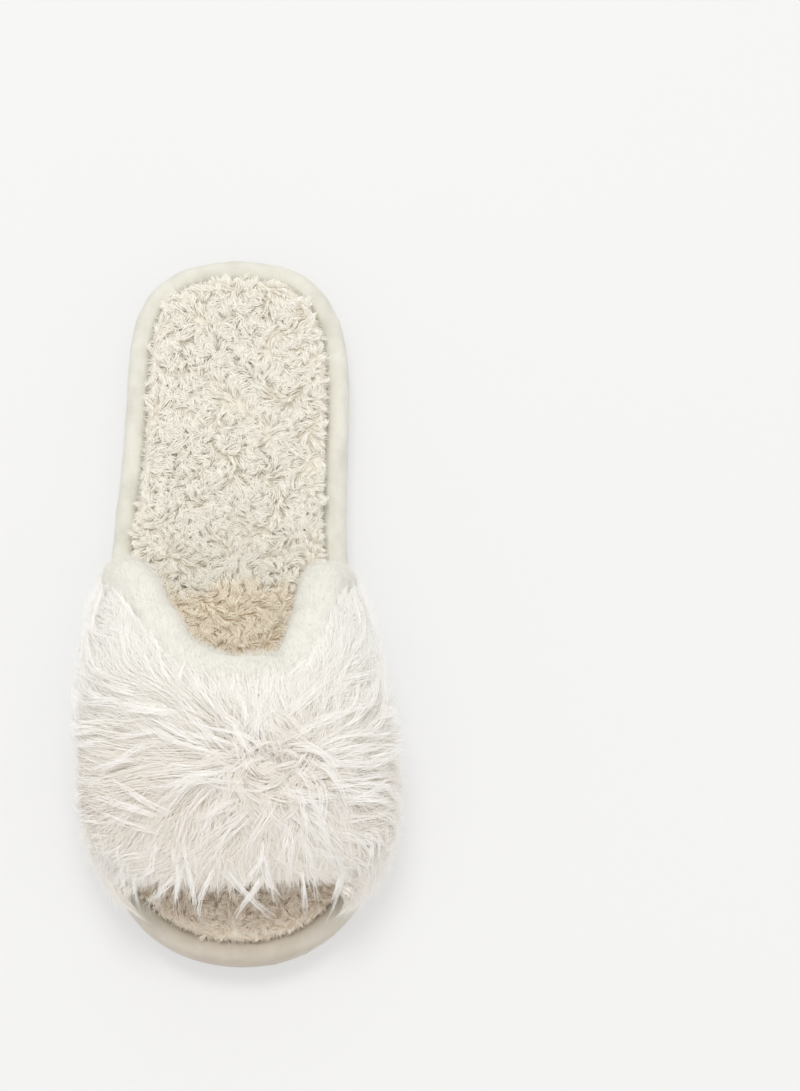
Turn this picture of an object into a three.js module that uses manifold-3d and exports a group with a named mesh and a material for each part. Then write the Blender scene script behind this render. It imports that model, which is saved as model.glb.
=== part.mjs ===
// A fluffy open-toe house slipper for a right foot, as an assembly of the pieces it is sewn and cemented from.
// Millimetres. +Z is up and the ground is z = 0. The toe points to -Y and the big-toe (medial) side is +X.
// The origin is on the tread face, half way between heel and toe.
import * as THREE from "three";
import { mergeVertices } from "three/addons/utils/BufferGeometryUtils.js";
import Module from "manifold-3d";

const wasm = await Module();
wasm.setup();

// ---- Gaps between neighbouring pieces. The strap's cloth and the collar's core bend, so they get more room.
const GAP = 0.3;
const BEND_GAP = 0.6;

// ---- Sole outline, seen from above. Each place is a distance from the toe tip or from the back of the heel.
const LENGTH = 255;
const HEEL = { x: -1.5, halfWidth: 39.8, lateralFromBack: 42.5, medialFromBack: 47.5 };
const BALL = { lateral: 50.5, lateralFromToe: 65.5, medial: 51.3, medialFromToe: 51.5 };
const WAIST = { medial: 37.2, fromBack: 97.5 };
const TOE_X = 2.5;
const OUTLINE_STEPS = 52;

// How far each stretch of the outline holds its direction at its two ends, as shares of the stretch.
const HEEL_CURVE = { across: 0.68, along: 0.755 };
const TOE_CURVE = { lateral: { across: 0.68, along: 0.64 }, medial: { across: 0.55, along: 0.58 } };
const LATERAL_SIDE = { atHeel: 0.24, atBall: 0.455 };
const MEDIAL_SIDE = { atBall: 0.34, beforeWaist: 0.3, afterWaist: 0.32, atHeel: 0.32 };

// ---- Outsole: moulded rubber with zigzag grooves
const OUTSOLE = { thickness: 4, inset: 0.8, edgeBevel: 0.8 };
const TREAD = { pitch: 14, width: 2.8, depth: 1.5, zigzag: 3, zigzagPitch: 20, border: 6, endLand: 14 };

// ---- Platform: foam midsole wrapped in a soft cover that ends in a rounded rim
const PLATFORM_TOP = 18;
const COVER = { thickness: 1.2, underMargin: 12, topMargin: 18 };
const RIM = { width: 6.4, rise: 2.6, arcSteps: 5 };

// ---- Footbed: board, foam and a plush cover that wraps over both. The strap's cloth passes in the groove round it.
const STRAP_CLOTH = 1.2;
const GROOVE = STRAP_CLOTH + 2 * BEND_GAP;
const BOARD = 1.2;
const FOAM = 2.5;
const PLUSH = { top: 3, side: 1.5, shoulder: 3 };

// ---- Strap: an arched band over the forefoot, built outwards from its lining
const LINING = 2.5;
const PADDING = 2.5;
const FUR = { thickness: 8.6, rearShare: 0.35, frontShare: 0.5, frontOverhang: 6, footThinning: 0.4 };
const LASTING_MARGIN = 7;
const ARCH = { heightFront: 39, heightRear: 55, bulge: 5, equatorRise: 14, squareness: 2.3 };
const FRONT_EDGE = { middleFromToe: 29.5, sidesFromToe: 40.5 };
const THROAT = { middleFromToe: 93.5, sidesFromToe: 131, lowestAt: 0.12 };
const THROAT_SIDE = { lateral: { reach: 0.43, flatness: 3.4 }, medial: { reach: 0.27, flatness: 2.5 } };
const ACROSS = 24;
const ALONG = 8;

// ---- Rolled edges of the strap, and the seams beside them
const COLLAR = { radius: 7, endRadius: 9.2, wall: 2, sides: 10 };
const BINDING = { radius: 3.8, sides: 8 };
const THREAD = { radius: 0.4, sides: 6, fromRoll: 3.5, clearance: 0.8, endAt: 0.84 };

// ---- Heights and insets that follow from the sizes above
const coverBase = OUTSOLE.thickness + GAP;
const grooveFloor = PLATFORM_TOP + GAP;
const boardBase = grooveFloor + STRAP_CLOTH + GAP;
const foamBase = boardBase + BOARD + GAP;
const plushBase = foamBase + FOAM + GAP;
const plushTop = plushBase + PLUSH.top;
const rimTop = PLATFORM_TOP + RIM.rise;
const archFoot = rimTop + GAP;
const footbedInset = RIM.width + GROOVE;
const clothInset = RIM.width + GROOVE / 2;
const coreInset = footbedInset + PLUSH.side + GAP;

// Offsets of the strap's layers from the middle of its cloth, outwards positive.
const clothOut = STRAP_CLOTH / 2;
const paddingOut = -clothOut - GAP;
const paddingIn = paddingOut - PADDING;
const liningOut = paddingIn - GAP;
const liningIn = liningOut - LINING;
const rollOffset = (clothOut + liningIn) / 2;
const furIn = clothOut + GAP;

function soleOutline() {
  const toe = new THREE.Vector2(TOE_X, -LENGTH / 2);
  const back = new THREE.Vector2(HEEL.x, LENGTH / 2);
  const heelLateral = new THREE.Vector2(HEEL.x - HEEL.halfWidth, back.y - HEEL.lateralFromBack);
  const heelMedial = new THREE.Vector2(HEEL.x + HEEL.halfWidth, back.y - HEEL.medialFromBack);
  const ballLateral = new THREE.Vector2(-BALL.lateral, toe.y + BALL.lateralFromToe);
  const ballMedial = new THREE.Vector2(BALL.medial, toe.y + BALL.medialFromToe);
  const waist = new THREE.Vector2(WAIST.medial, back.y - WAIST.fromBack);
  const path = new THREE.Path();
  const alongSide = (from, to, leave, arrive) => {
    const span = to.y - from.y;
    path.bezierCurveTo(from.x, from.y + span * leave, to.x, to.y - span * arrive, to.x, to.y);
  };
  const fromEnd = (end, side, { across, along }) => {
    const [reach, span] = [side.x - end.x, side.y - end.y];
    path.bezierCurveTo(end.x + reach * across, end.y, side.x, side.y - span * along, side.x, side.y);
  };
  const toEnd = (side, end, { across, along }) => {
    const [reach, span] = [end.x - side.x, end.y - side.y];
    path.bezierCurveTo(side.x, side.y + span * along, end.x - reach * across, end.y, end.x, end.y);
  };

  path.moveTo(back.x, back.y);
  fromEnd(back, heelLateral, HEEL_CURVE);
  alongSide(heelLateral, ballLateral, LATERAL_SIDE.atHeel, LATERAL_SIDE.atBall);
  toEnd(ballLateral, toe, TOE_CURVE.lateral);
  fromEnd(toe, ballMedial, TOE_CURVE.medial);
  alongSide(ballMedial, waist, MEDIAL_SIDE.atBall, MEDIAL_SIDE.beforeWaist);
  alongSide(waist, heelMedial, MEDIAL_SIDE.afterWaist, MEDIAL_SIDE.atHeel);
  toEnd(heelMedial, back, HEEL_CURVE);
  return path;
}

// The outline moved inwards by inset, as points in order, anticlockwise from above.
function insetOutline(inset) {
  return outline.map((p, i) => {
    const before = outline[(i + OUTLINE_STEPS - 1) % OUTLINE_STEPS];
    const after = outline[(i + 1) % OUTLINE_STEPS];
    const tangent = after.clone().sub(before).normalize();
    return new THREE.Vector2(p.x - tangent.y * inset, p.y + tangent.x * inset);
  });
}

// The lateral and medial x of the inset outline at a given y.
function sideX(inset, y) {
  const ring = insetOutline(inset);
  const crossings = ring.flatMap((a, i) => {
    const b = ring[(i + 1) % ring.length];
    const crosses = a.y <= y !== b.y <= y;
    return crosses ? [a.x + ((b.x - a.x) * (y - a.y)) / (b.y - a.y)] : [];
  });
  return [Math.min(...crossings), Math.max(...crossings)];
}

// A closed surface through rings that all have the same number of points. The caps close its ends: "flat" for
// rings that lie in a plane z = constant, "strip" for thin rings that run out along one face and back along the
// other, and "loop" joins the last ring to the first instead.
function loft(rings, caps) {
  const count = rings[0].length;
  const points = rings.flat();
  const index = [];
  // Each quad is split along its shorter diagonal, so that neighbouring layers are split alike.
  const quad = (a, b, c, d) => {
    const splitAC = points[a].distanceToSquared(points[c]) <= points[b].distanceToSquared(points[d]);
    index.push(...(splitAC ? [a, b, c, a, c, d] : [a, b, d, b, c, d]));
  };
  const links = caps === "loop" ? rings.length : rings.length - 1;
  for (let k = 0; k < links; k++) {
    const low = k * count;
    const high = ((k + 1) % rings.length) * count;
    for (let i = 0; i < count; i++) {
      const j = (i + 1) % count;
      quad(low + i, low + j, high + j, high + i);
    }
  }
  const last = (rings.length - 1) * count;
  if (caps === "strip") {
    for (let i = 0; i < count / 2 - 1; i++) {
      quad(i + 1, i, count - 1 - i, count - 2 - i);
      quad(last + i, last + i + 1, last + count - 2 - i, last + count - 1 - i);
    }
  }
  if (caps === "flat") {
    const flat = (ring) => THREE.ShapeUtils.triangulateShape(ring.map((p) => new THREE.Vector2(p.x, p.y)), []);
    for (const [a, b, c] of flat(rings[0])) index.push(a, c, b);
    for (const [a, b, c] of flat(rings[rings.length - 1])) index.push(last + a, last + b, last + c);
  }
  if (caps === "fan") {
    for (let i = 1; i < count - 1; i++) {
      index.push(0, i + 1, i);
      index.push(last, last + i, last + i + 1);
    }
  }
  const geometry = new THREE.BufferGeometry();
  geometry.setAttribute("position", new THREE.Float32BufferAttribute(points.flatMap((p) => [p.x, p.y, p.z]), 3));
  geometry.setIndex(index);
  return geometry;
}

// A solid whose edge follows the sole. The profile is [inset, z] pairs, from the underside out and up to the top.
function soleSolid(profile, caps = "flat") {
  const rings = profile.map(([inset, z]) => insetOutline(inset).map((p) => new THREE.Vector3(p.x, p.y, z)));
  return loft(rings, caps);
}

// The rounded top of the rim, from the outer wall over to the groove, with a margin all round.
function rimArc(margin) {
  const across = RIM.width / 2;
  return Array.from({ length: RIM.arcSteps + 1 }, (_, k) => {
    const angle = (Math.PI * k) / RIM.arcSteps;
    const inset = across - (across + margin) * Math.cos(angle);
    return [inset, PLATFORM_TOP + (RIM.rise + margin) * Math.sin(angle)];
  });
}

// ---- Booleans

function asSolid(geometry) {
  const bare = geometry.clone();
  bare.deleteAttribute("normal");
  bare.deleteAttribute("uv");
  const merged = mergeVertices(bare, 1e-4);
  const vertProperties = new Float32Array(merged.attributes.position.array);
  const triVerts = new Uint32Array(merged.index.array);
  return new wasm.Manifold(new wasm.Mesh({ numProp: 3, vertProperties, triVerts }));
}

function asGeometry(solid) {
  const mesh = solid.getMesh();
  const geometry = new THREE.BufferGeometry();
  geometry.setAttribute("position", new THREE.BufferAttribute(new Float32Array(mesh.vertProperties), 3));
  geometry.setIndex(new THREE.BufferAttribute(new Uint32Array(mesh.triVerts), 1));
  return geometry;
}

function cut(geometry, ...tools) {
  return asGeometry(tools.reduce((left, tool) => left.subtract(asSolid(tool)), asSolid(geometry)));
}

// ---- Sole pieces

function zigzagGroove(y) {
  const reach = Math.max(BALL.lateral, BALL.medial) + TREAD.zigzagPitch;
  const corners = [];
  for (let x = -reach, up = true; x <= reach; x += TREAD.zigzagPitch / 2, up = !up) {
    corners.push([x, y + (up ? TREAD.zigzag / 2 : -TREAD.zigzag / 2)]);
  }
  const near = corners.map(([x, v]) => new THREE.Vector2(x, v - TREAD.width / 2));
  const far = corners.map(([x, v]) => new THREE.Vector2(x, v + TREAD.width / 2)).reverse();
  const geometry = new THREE.ExtrudeGeometry(new THREE.Shape([...near, ...far]), {
    depth: 2 * TREAD.depth,
    bevelEnabled: false,
  });
  return geometry.translate(0, 0, -TREAD.depth);
}

function outsole() {
  const { thickness, inset, edgeBevel } = OUTSOLE;
  const slab = soleSolid([[inset + edgeBevel, 0], [inset, edgeBevel], [inset, thickness]]);
  const field = soleSolid([[inset + TREAD.border, -TREAD.depth], [inset + TREAD.border, 2 * TREAD.depth]]);
  const rows = Math.floor((LENGTH / 2 - TREAD.endLand) / TREAD.pitch);
  const grooves = [];
  for (let row = -rows; row < rows; row++) {
    grooves.push(asSolid(zigzagGroove((row + 0.5) * TREAD.pitch)));
  }
  const tread = grooves.reduce((joined, groove) => joined.add(groove)).intersect(asSolid(field));
  return asGeometry(asSolid(slab).subtract(tread));
}

function midsoleCover() {
  const { thickness, underMargin, topMargin } = COVER;
  const outerArc = rimArc(0);
  const innerArc = rimArc(-thickness).reverse();
  return soleSolid([
    [underMargin, coverBase],
    [0, coverBase],
    ...outerArc,
    [topMargin, PLATFORM_TOP],
    [topMargin, PLATFORM_TOP - thickness],
    [innerArc[0][0], PLATFORM_TOP - thickness],
    ...innerArc,
    [thickness, coverBase + thickness],
    [underMargin, coverBase + thickness],
  ], "loop");
}

function midsole() {
  const { thickness, underMargin, topMargin } = COVER;
  const skin = thickness + GAP;
  const arc = rimArc(-skin);
  return soleSolid([
    [underMargin + GAP, coverBase],
    [underMargin + GAP, coverBase + skin],
    [skin, coverBase + skin],
    ...arc,
    [arc[arc.length - 1][0], PLATFORM_TOP - skin],
    [topMargin + GAP, PLATFORM_TOP - skin],
    [topMargin + GAP, boardBase - GAP],
  ]);
}

function insoleBoard() {
  return soleSolid([[coreInset, boardBase], [coreInset, boardBase + BOARD]]);
}

function footbedFoam() {
  return soleSolid([[coreInset, foamBase], [coreInset, foamBase + FOAM]]);
}

// The plush's rounded shoulder, from its side up to its top.
function plushShoulder(side, top) {
  const { shoulder } = PLUSH;
  const facet = 0.3 * shoulder;
  return [[side, top - shoulder], [side + facet, top - facet], [side + shoulder, top]];
}

function footbedPlush() {
  const inner = footbedInset + PLUSH.side;
  const skirt = [[inner, plushBase], [inner, boardBase], [footbedInset, boardBase]];
  return soleSolid([...skirt, ...plushShoulder(footbedInset, plushTop)]);
}

// Everything under the strap's padded layers, with a gap all round.
function soleEnvelope(gap = GAP) {
  const overRim = rimArc(gap).filter(([inset]) => inset < RIM.width / 2 + GAP);
  const side = footbedInset - gap;
  return soleSolid([[-gap, -gap], ...overRim, [side, rimTop + gap], ...plushShoulder(side, plushTop + gap)]);
}

// ---- Strap pieces. Across the strap, t runs from -1 at its lateral foot over the top to 1 at its medial foot.

const fromToe = (distance) => -LENGTH / 2 + distance;

function frontY(t) {
  const { middleFromToe, sidesFromToe } = FRONT_EDGE;
  return fromToe(middleFromToe + (sidesFromToe - middleFromToe) * t * t);
}

function throatY(t) {
  const { middleFromToe, sidesFromToe, lowestAt } = THROAT;
  const { reach, flatness } = t < lowestAt ? THROAT_SIDE.lateral : THROAT_SIDE.medial;
  const rise = 1 - Math.exp(-Math.pow(Math.abs(t - lowestAt) / reach, flatness));
  return fromToe(middleFromToe + (sidesFromToe - middleFromToe) * rise);
}

// The height of the cloth's highest line, which climbs from the front edge to the throat and then stays level.
function apexZ(y) {
  const front = fromToe(FRONT_EDGE.middleFromToe);
  const share = (y - front) / (fromToe(THROAT.middleFromToe) - front);
  const climb = Math.sin((Math.PI / 2) * Math.min(share, 1));
  return archFoot + ARCH.heightFront + (ARCH.heightRear - ARCH.heightFront) * climb;
}

// The cross-section of the strap's cloth at y, taken through the middle of the cloth: x and z at t.
function sectionPoint(t, y) {
  const [lateral, medial] = sideX(clothInset, y);
  const middle = (lateral + medial) / 2;
  const footHalf = (medial - lateral) / 2;
  const equatorHalf = footHalf + ARCH.bulge;
  const equatorZ = archFoot + ARCH.equatorRise;
  const below = Math.acos(footHalf / equatorHalf);
  const angle = Math.abs(t) * (Math.PI / 2 + below);
  const side = Math.sign(t);
  if (angle > Math.PI / 2) {
    const under = angle - Math.PI / 2;
    const z = equatorZ - (ARCH.equatorRise * Math.sin(under)) / Math.sin(below);
    return new THREE.Vector2(middle + side * equatorHalf * Math.cos(under), z);
  }
  const power = 2 / ARCH.squareness;
  const x = middle + side * equatorHalf * Math.pow(Math.sin(angle), power);
  const z = equatorZ + (apexZ(y) - equatorZ) * Math.pow(Math.max(Math.cos(angle), 0), power);
  return new THREE.Vector2(x, z);
}

// A point of the arch, at an offset square to the middle of the strap's cloth.
function archPoint(t, y, offset) {
  const nudge = 0.02;
  const along = sectionPoint(t + nudge, y).sub(sectionPoint(t - nudge, y)).normalize();
  const { x, y: z } = sectionPoint(t, y);
  return new THREE.Vector3(x - along.y * offset, y, z + along.x * offset);
}

const steps = (count) => Array.from({ length: count + 1 }, (_, k) => k / count);
const acrossSteps = steps(ACROSS).map((s) => 2 * s - 1);
const rollSteps = [-1.1, ...acrossSteps, 1.1];

// A layer of the strap between two offsets, or between two functions of (t, v) that give points.
function strapLayer(inner, outer, ends = { before: [], after: [] }) {
  const ring = (t) => [
    ...steps(ALONG).map((v) => inner(t, v)),
    ...steps(ALONG).reverse().map((v) => outer(t, v)),
  ];
  return loft([...ends.before, ...acrossSteps.map(ring), ...ends.after], "strip");
}

// The y on the strap at t that lies a distance from one of its edges, measured square to that edge.
function besideEdge(edgeY, t, distance) {
  const nudge = 0.02;
  const across = sectionPoint(t + nudge, edgeY(t)).distanceTo(sectionPoint(t - nudge, edgeY(t)));
  const slope = (edgeY(t + nudge) - edgeY(t - nudge)) / across;
  return edgeY(t) + distance * Math.hypot(1, slope);
}

// The strap's layers end inside its rolled edges, where the rolls then cut them off. v runs from front to rear.
function alongY(t, v) {
  const front = besideEdge(frontY, t, bindingRadius(t) / 2);
  const rear = besideEdge(throatY, t, -collarRadius(t) / 2);
  return front + (rear - front) * v;
}

const atOffset = (offset) => (t, v) => archPoint(t, alongY(t, v), offset);

// The lasting margin of the strap's cloth: down the groove, then inwards under the footbed.
function lastingRings(side) {
  const pick = side < 0 ? 0 : 1;
  const lastingEnd = clothInset + LASTING_MARGIN;
  const rows = [
    { outer: [lastingEnd, grooveFloor], inner: [lastingEnd, grooveFloor + STRAP_CLOTH] },
    {
      outer: [clothInset - clothOut, grooveFloor],
      inner: [clothInset + clothOut, grooveFloor + STRAP_CLOTH],
    },
  ];
  const point = ([inset, z], v) => {
    const y = alongY(side, v);
    return new THREE.Vector3(sideX(inset, y)[pick], y, z);
  };
  const rings = rows.map(({ outer, inner }) => [
    ...steps(ALONG).map((v) => point(inner, v)),
    ...steps(ALONG).reverse().map((v) => point(outer, v)),
  ]);
  return side < 0 ? rings : rings.reverse();
}

function strapBacking() {
  const ends = { before: lastingRings(-1), after: lastingRings(1) };
  const sheet = strapLayer(atOffset(-clothOut), atOffset(clothOut), ends);
  const aboveSole = (rolled) => cut(rolled, soleEnvelope(0));
  return cut(sheet, aboveSole(collarRoll(GAP)), aboveSole(bindingRoll(GAP)));
}

function innerLayer(inOffset, outOffset) {
  const sheet = strapLayer(atOffset(inOffset), atOffset(outOffset));
  return cut(sheet, collarRoll(GAP), bindingRoll(GAP), soleEnvelope());
}

function strapFur() {
  const { thickness, rearShare, frontShare, frontOverhang, footThinning } = FUR;
  const crown = (t, v) => {
    const edgeShare = frontShare + (rearShare - frontShare) * v;
    const lengthways = edgeShare + (1 - edgeShare) * Math.pow(Math.sin(Math.PI * v), 0.6);
    const sideways = 1 - footThinning * Math.pow(Math.abs(t), 6);
    return furIn + thickness * lengthways * sideways;
  };
  const outer = (t, v) => archPoint(t, alongY(t, v) - frontOverhang * (1 - v) * (1 - v), crown(t, v));
  const pile = strapLayer(atOffset(furIn), outer);
  return cut(pile, collarRoll(GAP), bindingRoll(GAP), soleEnvelope());
}

// ---- Rolled edges

const collarPath = (t) => archPoint(t, throatY(t), rollOffset);
const bindingPath = (t) => archPoint(t, frontY(t), rollOffset);
const collarRadius = (t) => COLLAR.radius + (COLLAR.endRadius - COLLAR.radius) * Math.min(t * t, 1);
const bindingRadius = () => BINDING.radius;

// The rings of a roll along a path of t, each square to the path.
function rollRings(path, radius, sides, margin = 0, places = rollSteps) {
  return places.map((t, k) => {
    const before = path(places[Math.max(k - 1, 0)]);
    const after = path(places[Math.min(k + 1, places.length - 1)]);
    const tangent = after.clone().sub(before).normalize();
    const out = new THREE.Vector3(Math.sign(t), 0, 0).lerp(new THREE.Vector3(0, 0, 1), 1 - t * t).normalize();
    const side = new THREE.Vector3().crossVectors(out, tangent).normalize();
    const up = new THREE.Vector3().crossVectors(tangent, side);
    return Array.from({ length: sides }, (_, i) => {
      const angle = (2 * Math.PI * i) / sides;
      return path(t)
        .addScaledVector(side, (radius(t) + margin) * Math.cos(angle))
        .addScaledVector(up, (radius(t) + margin) * Math.sin(angle));
    });
  });
}

const collarRoll = (margin) => loft(rollRings(collarPath, collarRadius, COLLAR.sides, margin), "fan");
const bindingRoll = (margin) => loft(rollRings(bindingPath, bindingRadius, BINDING.sides, margin), "fan");

function collarCover() {
  const outer = rollRings(collarPath, collarRadius, COLLAR.sides);
  const inner = rollRings(collarPath, collarRadius, COLLAR.sides, -COLLAR.wall).reverse();
  return cut(loft([...outer, ...inner], "loop"), soleEnvelope());
}

const collarCore = () => cut(collarRoll(-COLLAR.wall - BEND_GAP), soleEnvelope());
const toeEdgeBinding = () => cut(bindingRoll(0), soleEnvelope());

// A sewing thread on the lining's inner face, beside one of the strap's rolled edges. The direction is 1 where
// the strap lies ahead of the edge in Y and -1 where it lies behind.
function stitching(edgeY, radius, direction) {
  const path = (t) => {
    const y = besideEdge(edgeY, t, direction * (radius(t) + THREAD.fromRoll));
    return archPoint(t, y, liningIn - THREAD.clearance - THREAD.radius);
  };
  const places = acrossSteps.filter((t) => Math.abs(t) <= THREAD.endAt);
  return loft(rollRings(path, () => THREAD.radius, THREAD.sides, 0, places), "fan");
}

// ---- Materials

const finish = (color, roughness, metalness = 0) => new THREE.MeshStandardMaterial({ color, roughness, metalness });
const rubber = finish(0xd8d2c4, 0.75);
const foam = finish(0xefece4, 0.9);
const board = finish(0xc9b590, 0.85);
const velour = finish(0xdbd8ca, 0.95);
const plush = finish(0xd9d2c0, 1);
const cloth = finish(0xe9e6dc, 0.95);
const fleece = finish(0xefeee4, 1);
const furPile = finish(0xf1eee8, 1);
const thread = finish(0xe6e2d6, 0.7);

const outline = soleOutline().getSpacedPoints(OUTLINE_STEPS).slice(0, OUTLINE_STEPS);
const slipper = new THREE.Group();

function add(name, geometry, material) {
  const mesh = new THREE.Mesh(geometry, material);
  mesh.name = name;
  slipper.add(mesh);
}

add("outsole", outsole(), rubber);
add("midsole", midsole(), foam);
add("midsole_cover", midsoleCover(), velour);
add("insole_board", insoleBoard(), board);
add("footbed_foam", footbedFoam(), foam);
add("footbed_plush", footbedPlush(), plush);
add("strap_backing", strapBacking(), cloth);
add("strap_padding", innerLayer(paddingIn, paddingOut), foam);
add("strap_lining", innerLayer(liningIn, liningOut), fleece);
add("strap_fur", strapFur(), furPile);
add("collar_cover", collarCover(), fleece);
add("collar_core", collarCore(), foam);
add("toe_edge_binding", toeEdgeBinding(), cloth);
add("collar_stitching", stitching(throatY, collarRadius, -1), thread);
add("toe_edge_stitching", stitching(frontY, bindingRadius, 1), thread);

export default slipper;
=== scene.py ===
"""A fluffy open-toe house slipper: an ivory sole and footbed, a long-pile strap and a fleece collar.

Sizes in the code are millimetres and turn into metres when a mesh is made. The toe points along -Y, the heel
along +Y, and +X is the big-toe side.
"""

import math

import bpy
import numpy as np
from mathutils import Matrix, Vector
from mathutils.bvhtree import BVHTree


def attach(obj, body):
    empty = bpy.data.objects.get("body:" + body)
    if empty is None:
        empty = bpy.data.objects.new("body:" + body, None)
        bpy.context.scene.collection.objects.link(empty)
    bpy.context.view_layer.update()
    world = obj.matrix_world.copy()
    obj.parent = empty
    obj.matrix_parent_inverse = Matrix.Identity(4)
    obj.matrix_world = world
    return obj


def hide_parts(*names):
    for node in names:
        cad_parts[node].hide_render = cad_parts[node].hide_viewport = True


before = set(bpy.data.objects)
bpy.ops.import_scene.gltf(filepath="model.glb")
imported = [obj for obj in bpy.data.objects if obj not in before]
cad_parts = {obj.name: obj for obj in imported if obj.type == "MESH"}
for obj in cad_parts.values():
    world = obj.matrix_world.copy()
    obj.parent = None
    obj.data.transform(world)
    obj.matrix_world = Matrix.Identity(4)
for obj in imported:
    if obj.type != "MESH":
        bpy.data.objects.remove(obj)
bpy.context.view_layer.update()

MM = 0.001
PILE_MAP = "OFBake"
PILE_COLUMNS = 96
STRAND_SIDES = 3
STRAND_FLATNESS = 0.45
MOST_TRIANGLES = 190000
# Pale pile gets much of its brightness from light that bounces between its strands.
FUR_BOUNCES = 14

# ---- Sizes that repeat the CAD model's, in mm

LENGTH = 255
PLATFORM_TOP = 18.0
COVER_BASE = 4.3
GROOVE_FLOOR = 18.3
FOOTBED_INSET = 8.8
CLOTH_INSET = 7.6
ARCH_FOOT = 20.9
ARCH_FRONT, ARCH_REAR = 39, 55
ARCH_BULGE, EQUATOR_RISE, SQUARENESS = 5, 14, 2.3
FRONT_MIDDLE, FRONT_SIDES = 29.5, 40.5
THROAT_MIDDLE, THROAT_SIDES, THROAT_LOWEST = 93.5, 131, 0.12
THROAT_LATERAL = (0.43, 3.4)
THROAT_MEDIAL = (0.27, 2.5)
FUR_IN, FUR_THICKNESS = 0.9, 8.6
PADDING_OFFSETS = (-0.9, -3.4)
LINING_OFFSETS = (-3.7, -6.2)
ROLL_OFFSET = -2.8
COLLAR_RADIUS, COLLAR_END_RADIUS = 7, 9.2
BINDING_RADIUS = 3.8
THREAD_RADIUS, THREAD_FROM_ROLL, THREAD_CLEARANCE = 0.4, 3.5, 0.8


# ---- Small helpers


def smooth_step(value, low, high):
    share = np.clip((value - low) / (high - low), 0, 1)
    return share * share * (3 - 2 * share)


def unit(vectors):
    return vectors / np.maximum(np.linalg.norm(vectors, axis=-1, keepdims=True), 1e-9)


def noise_field(seed, wavelength, waves=18):
    """A smooth random field of space, about -1 to 1, whose bumps are about a wavelength apart."""
    rng = np.random.default_rng(seed)
    directions = unit(rng.normal(size=(waves, 3)))
    pitches = 2 * math.pi / (wavelength * rng.uniform(0.65, 1.5, waves))
    phases = rng.uniform(0, 2 * math.pi, waves)

    def field(points):
        total = np.zeros(points.shape[:-1])
        for direction, pitch, phase in zip(directions, pitches, phases):
            total += np.sin(points @ direction * pitch + phase)
        return total * math.sqrt(2 / waves)

    return field


def catmull_rom(points, count):
    """A smooth curve through a few points, as this many points."""
    points = np.asarray(points, float)
    padded = np.vstack([2 * points[0] - points[1], points, 2 * points[-1] - points[-2]])
    place = np.linspace(0, len(points) - 1 - 1e-9, count)
    k = place.astype(int)
    s = (place - k)[:, None]
    a, b, c, d = padded[k], padded[k + 1], padded[k + 2], padded[k + 3]
    return 0.5 * (2 * b + (c - a) * s + (2 * a - 5 * b + 4 * c - d) * s**2 + (3 * b - a - 3 * c + d) * s**3)


def mesh_object(name, points, faces, material, uv=None, smooth=True):
    """Makes an object from points in mm and faces given as lists or as one array of equal faces."""
    mesh = bpy.data.meshes.new(name)
    points = np.asarray(points, float).reshape(-1, 3) * MM
    groups = faces if isinstance(faces, tuple) else (faces,)
    corners = np.concatenate([np.asarray(group, np.int32).ravel() for group in groups])
    counts = np.concatenate([np.full(len(group), len(group[0]), np.int32) for group in groups])
    starts = np.concatenate([[0], np.cumsum(counts)[:-1]]).astype(np.int32)
    mesh.vertices.add(len(points))
    mesh.vertices.foreach_set("co", points.astype(np.float32).ravel())
    mesh.loops.add(len(corners))
    mesh.loops.foreach_set("vertex_index", corners)
    mesh.polygons.add(len(counts))
    mesh.polygons.foreach_set("loop_start", starts)
    mesh.polygons.foreach_set("use_smooth", np.full(len(counts), smooth))
    if uv is not None:
        layer = mesh.uv_layers.new(name=PILE_MAP)
        layer.uv.foreach_set("vector", uv.astype(np.float32).ravel())
    mesh.update(calc_edges=True)
    mesh.materials.append(material)
    piece = bpy.data.objects.new(name, mesh)
    bpy.context.scene.collection.objects.link(piece)
    return piece


def piece_of(obj, slot, *nodes, fill=None):
    """Makes an object ride on the root and hides these CAD nodes, which it stands for."""
    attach(obj, "root")
    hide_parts(*nodes)
    return obj


def grid_faces(rows, columns, wrap_rows=False, wrap_columns=False):
    """The quads of a grid of points, numbered row by row."""
    row = np.arange(rows if wrap_rows else rows - 1)[:, None]
    column = np.arange(columns if wrap_columns else columns - 1)[None, :]
    next_row = (row + 1) % rows
    next_column = (column + 1) % columns
    a = row * columns + column
    b = row * columns + next_column
    c = next_row * columns + next_column
    d = next_row * columns + column
    return np.stack([np.broadcast_to(q, a.shape) for q in (a, b, c, d)], -1).reshape(-1, 4)


# ---- Strands: every hair of the piles is a tapered three-sided tube


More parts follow.
